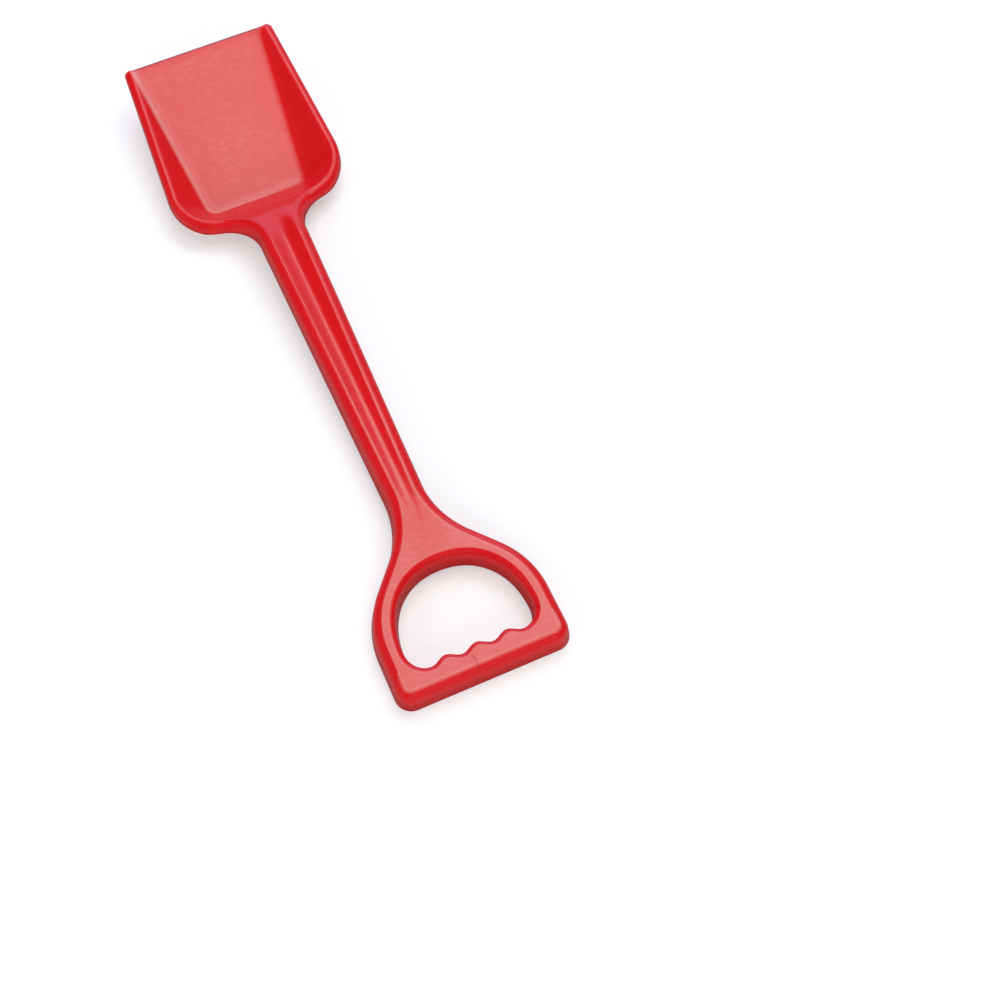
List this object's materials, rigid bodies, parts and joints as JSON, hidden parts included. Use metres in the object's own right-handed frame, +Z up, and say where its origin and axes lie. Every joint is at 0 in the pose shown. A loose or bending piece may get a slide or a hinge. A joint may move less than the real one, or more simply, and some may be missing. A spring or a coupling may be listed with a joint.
{
  "type": "sand shovel",
  "caption": "Child's sand shovel moulded in one piece: a deep square-ended scoop, an M-shaped shaft open at the back, and a D-shaped handle with finger grooves.",
  "frame": {"origin": "middle of the footprint of the shovel as it lies on its heel and its grip, at the height of the surface that it lies on", "axes": "+Z up from that surface, +Y along the shaft towards the digging edge, X across the shovel"},
  "size_m": [0.0976, 0.3992, 0.0312],
  "materials": {
    "red_plastic": "satin, moulded in one colour"
  },
  "bodies": {
    "root": {"blade_floor": "red_plastic", "digging_edge": "red_plastic", "left_wall": "red_plastic", "right_wall": "red_plastic", "back_wall": "red_plastic", "neck": "red_plastic", "shaft": "red_plastic", "shaft_ribs": "red_plastic", "yoke": "red_plastic", "left_arm": "red_plastic", "right_arm": "red_plastic", "grip": "red_plastic"}
  },
  "joints": []
}
